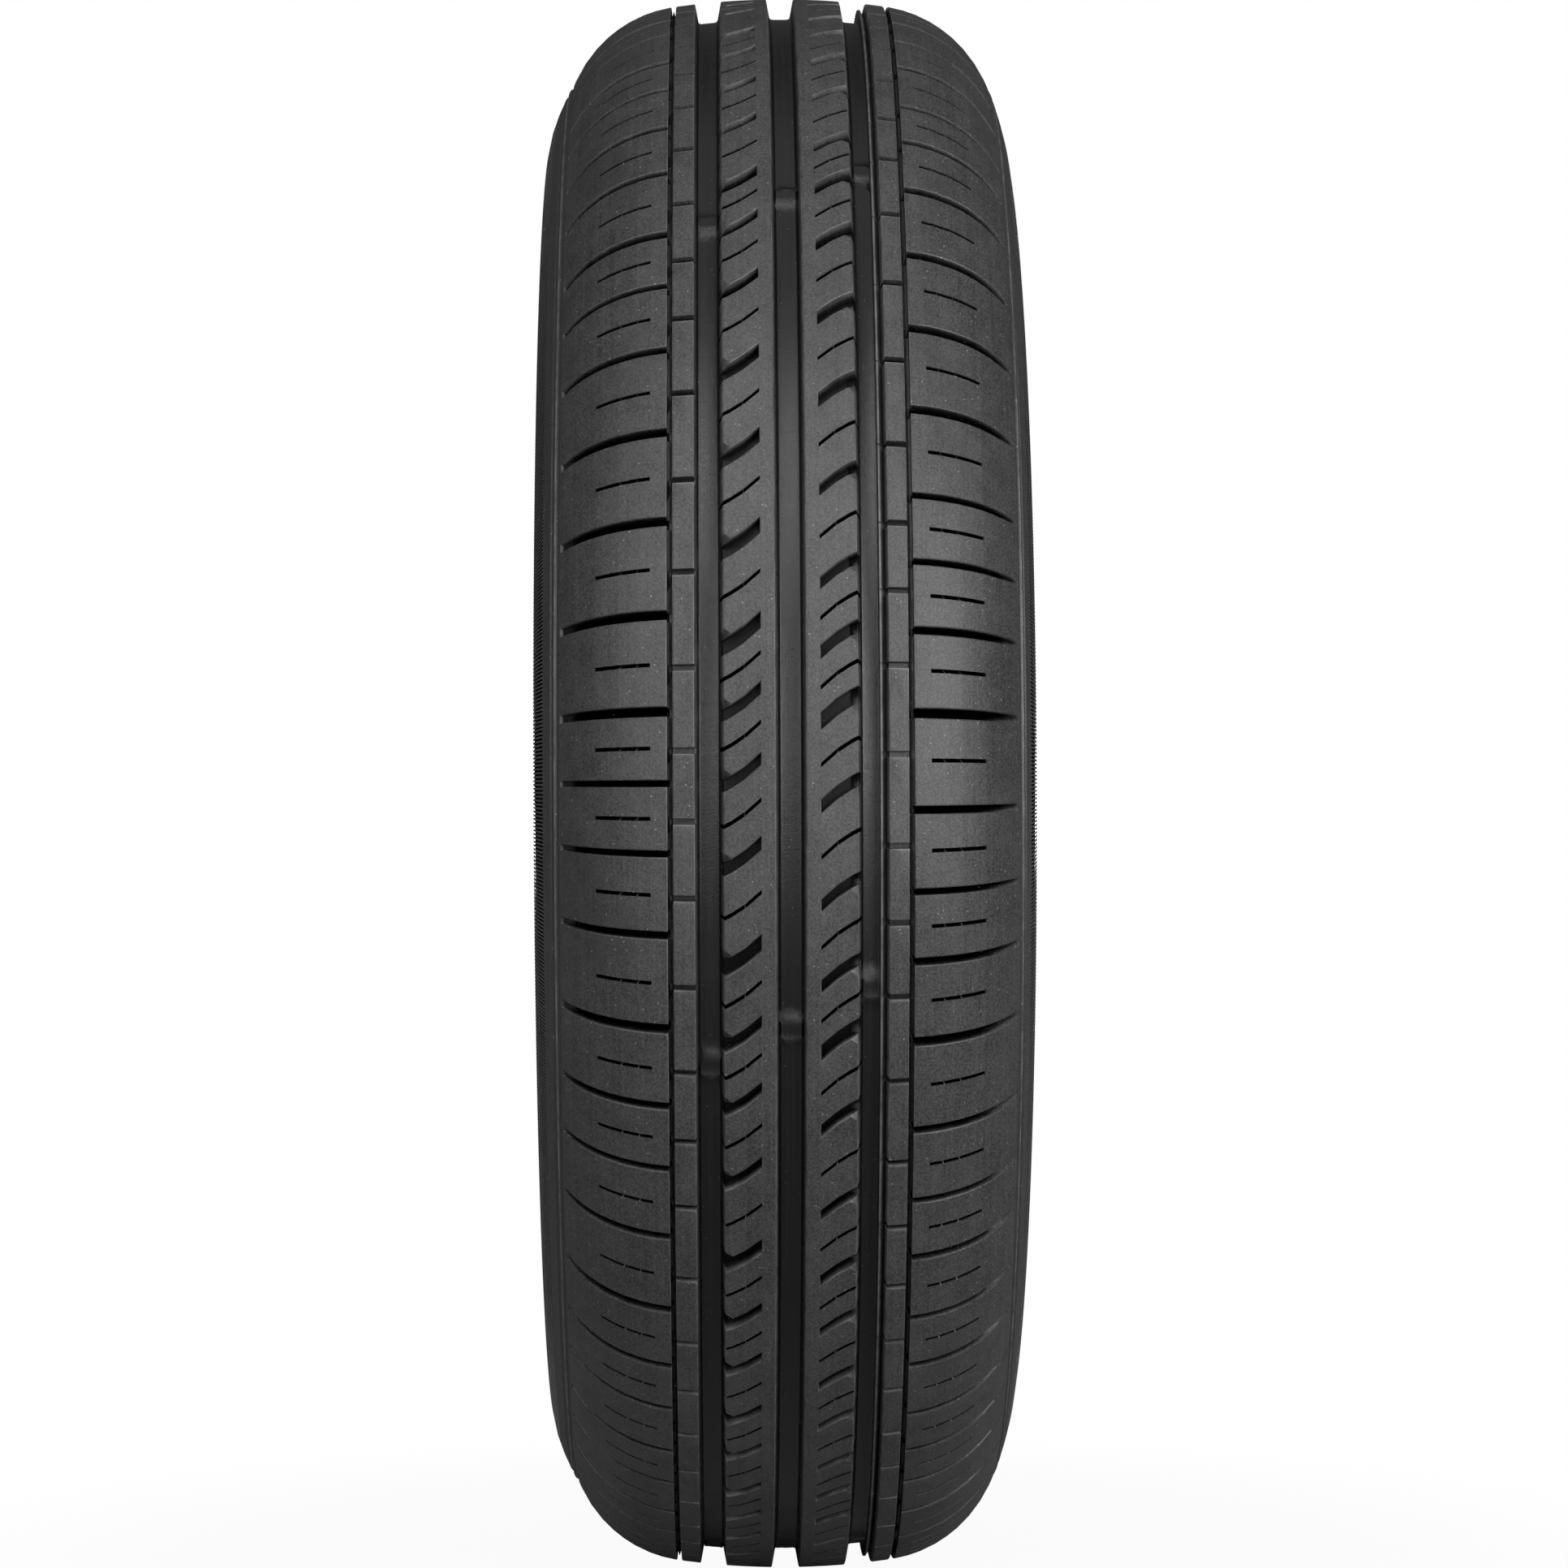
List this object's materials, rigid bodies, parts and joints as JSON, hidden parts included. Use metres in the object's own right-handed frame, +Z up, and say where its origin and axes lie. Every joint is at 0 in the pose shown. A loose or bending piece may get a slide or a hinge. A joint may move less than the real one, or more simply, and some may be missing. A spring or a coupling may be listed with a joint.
{
  "type": "car tyre",
  "caption": "Car tyre with a grooved road tread, cut shoulder blocks, rounded sidewalls and beads that seat on a wheel rim.",
  "frame": {"origin": "centre of the tyre, where its axis crosses its equator", "axes": "+Y along the axis the tyre turns on, +Z up, +X along the ground in the rolling direction; it stands upright on its tread"},
  "size_m": [0.587, 0.17, 0.5864],
  "materials": {
    "tyre": "matt moulded rubber"
  },
  "bodies": {
    "root": {"tyre": "tyre"}
  },
  "joints": []
}
